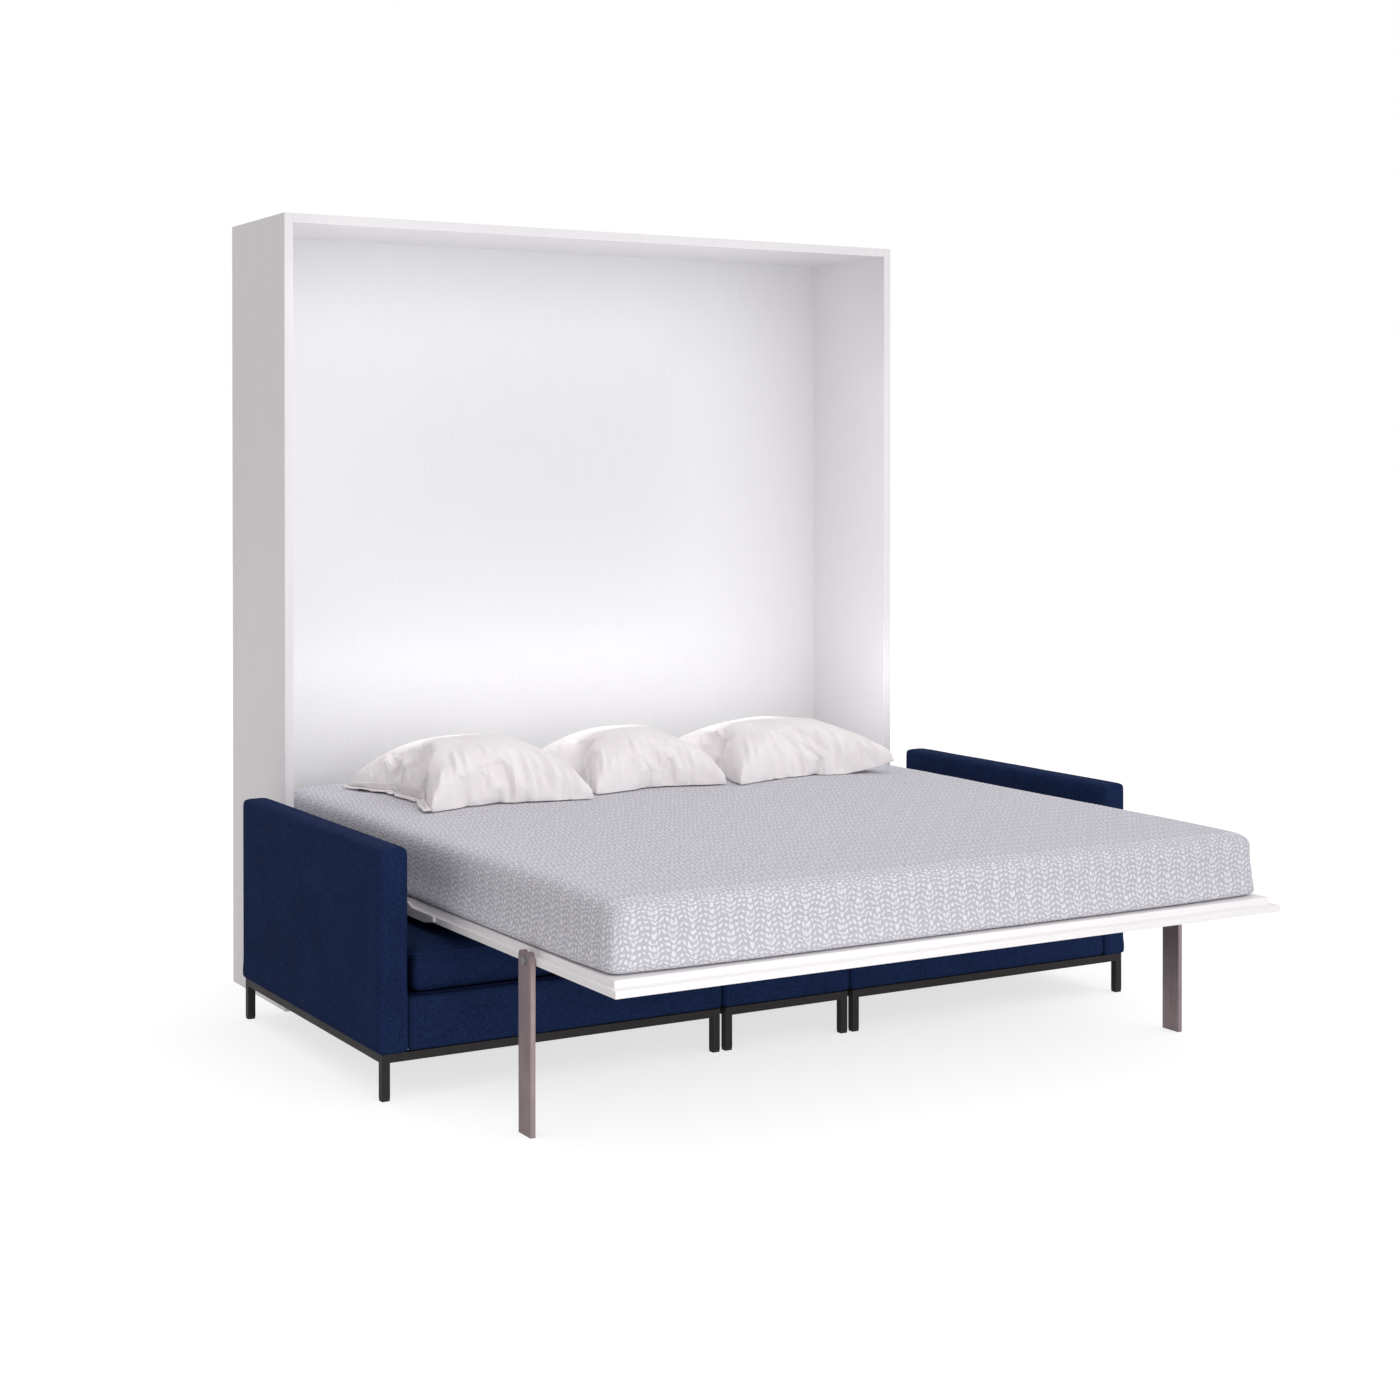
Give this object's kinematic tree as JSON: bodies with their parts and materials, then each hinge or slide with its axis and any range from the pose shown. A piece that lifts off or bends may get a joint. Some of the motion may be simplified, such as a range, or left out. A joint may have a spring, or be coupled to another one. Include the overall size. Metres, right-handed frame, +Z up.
{
  "type": "wall bed with sofa",
  "caption": "Fold-up wall bed: open white cabinet, slim bed panel with mattress and pillows on hanging flat-bar legs, over a low sectional sofa on a tube frame.",
  "frame": {"origin": "on the floor, at the middle of the whole object's outline", "axes": "+X to the right seen from the front, +Y towards the wall, +Z up"},
  "size_m": [2.226, 2.172, 2.185],
  "materials": {
    "cabinet_lacquer": "white satin lacquer on board",
    "bed_lacquer": "white satin lacquer on board",
    "bare_wood": "sanded birch",
    "zinc_steel": "zinc plated",
    "arm_steel": "white powder coat",
    "bush_brass": "turned",
    "strut_black": "black paint",
    "strut_chrome": "polished",
    "leg_steel": "brushed",
    "black_plastic": "moulded",
    "sofa_frame_steel": "dark brown powder coat",
    "sofa_fabric": "navy woven upholstery",
    "sheet_fabric": "grey sheet with a white leaf pattern",
    "pillow_fabric": "white cotton"
  },
  "bodies": {
    "cabinet_and_sofa": {"cabinet_top": "cabinet_lacquer", "cabinet_bottom": "cabinet_lacquer", "cabinet_back_panel": "cabinet_lacquer", "cabinet_side_left": "cabinet_lacquer", "cabinet_side_right": "cabinet_lacquer", "corner_dowels": "bare_wood", "wall_bracket_left": "zinc_steel", "wall_bracket_right": "zinc_steel", "bracket_screws": "zinc_steel", "pivot_plate_left": "zinc_steel", "pivot_plate_right": "zinc_steel", "pivot_pin_left": "zinc_steel", "pivot_pin_right": "zinc_steel", "pivot_plate_bolts": "zinc_steel", "strut_bracket_left": "zinc_steel", "strut_bracket_right": "zinc_steel", "strut_bracket_screws": "zinc_steel", "sofa_arm_left": "sofa_fabric", "sofa_arm_right": "sofa_fabric", "arm_bolts": "zinc_steel", "sofa_glides": "black_plastic", "section_clips": "zinc_steel", "link_brackets": "zinc_steel", "link_screws": "zinc_steel", "sofa_base_left": "sofa_fabric", "sofa_base_middle": "sofa_fabric", "sofa_base_right": "sofa_fabric", "seat_cushion_left": "sofa_fabric", "seat_cushion_middle": "sofa_fabric", "seat_cushion_right": "sofa_fabric", "sofa_rails_left": "sofa_frame_steel", "sofa_rails_middle": "sofa_frame_steel", "sofa_rails_right": "sofa_frame_steel", "sofa_legs_left": "sofa_frame_steel", "sofa_legs_middle": "sofa_frame_steel", "sofa_legs_right": "sofa_frame_steel"},
    "bed": {"door_panel": "bed_lacquer", "deck_rail_left": "bed_lacquer", "deck_rail_right": "bed_lacquer", "deck_head_board": "bed_lacquer", "deck_foot_board": "bed_lacquer", "deck_slats": "bare_wood", "lift_arm_left": "arm_steel", "lift_arm_right": "arm_steel", "lift_arm_screws": "zinc_steel", "pivot_bush_left": "bush_brass", "pivot_bush_right": "bush_brass", "mattress": "sheet_fabric", "pillow_left": "pillow_fabric", "pillow_middle": "pillow_fabric", "pillow_right": "pillow_fabric", "leg_bolts": "zinc_steel", "leg_washers": "black_plastic"},
    "leg_left": {"bed_leg_left": "leg_steel"},
    "strut_tube_left": {"strut_cylinder_left": "strut_black"},
    "strut_ram_left": {"strut_rod_left": "strut_chrome"},
    "leg_right": {"bed_leg_right": "leg_steel"},
    "strut_tube_right": {"strut_cylinder_right": "strut_black"},
    "strut_ram_right": {"strut_rod_right": "strut_chrome"}
  },
  "joints": [
    {"name": "bed_fold", "type": "hinge", "parent": "cabinet_and_sofa", "child": "bed", "pos_m": [0, 0.684, 0.345], "axis": [-1, 0, 0], "range_deg": [0, 90]},
    {"name": "leg_swing_left", "type": "hinge", "parent": "bed", "child": "leg_left", "pos_m": [-0.9305, -0.692, 0.382], "axis": [-1, 0, 0], "range_deg": [-90, 0]},
    {"name": "strut_swing_left", "type": "hinge", "parent": "cabinet_and_sofa", "child": "strut_tube_left", "pos_m": [-0.945, 1.026, 0.535], "axis": [-1, 0, 0], "range_deg": [-2.17, 0]},
    {"name": "strut_slide_left", "type": "slide", "parent": "strut_tube_left", "child": "strut_ram_left", "axis": [0, -0.7865, -0.6175], "range_m": [0, 0.14083]},
    {"name": "leg_swing_right", "type": "hinge", "parent": "bed", "child": "leg_right", "pos_m": [0.9305, -0.692, 0.382], "axis": [-1, 0, 0], "range_deg": [-90, 0]},
    {"name": "strut_swing_right", "type": "hinge", "parent": "cabinet_and_sofa", "child": "strut_tube_right", "pos_m": [0.945, 1.026, 0.535], "axis": [-1, 0, 0], "range_deg": [-2.17, 0]},
    {"name": "strut_slide_right", "type": "slide", "parent": "strut_tube_right", "child": "strut_ram_right", "axis": [0, -0.7865, -0.6175], "range_m": [0, 0.14083]}
  ],
  "couplings": [
    {"joint": "leg_swing_left", "follows": "bed_fold", "ratio": -1},
    {"joint": "strut_swing_left", "follows": "bed_fold", "ratio": -0.024001},
    {"joint": "strut_slide_left", "follows": "bed_fold", "m_per_rad": 0.089589},
    {"joint": "leg_swing_right", "follows": "bed_fold", "ratio": -1},
    {"joint": "strut_swing_right", "follows": "bed_fold", "ratio": -0.024001},
    {"joint": "strut_slide_right", "follows": "bed_fold", "m_per_rad": 0.089589}
  ]
}
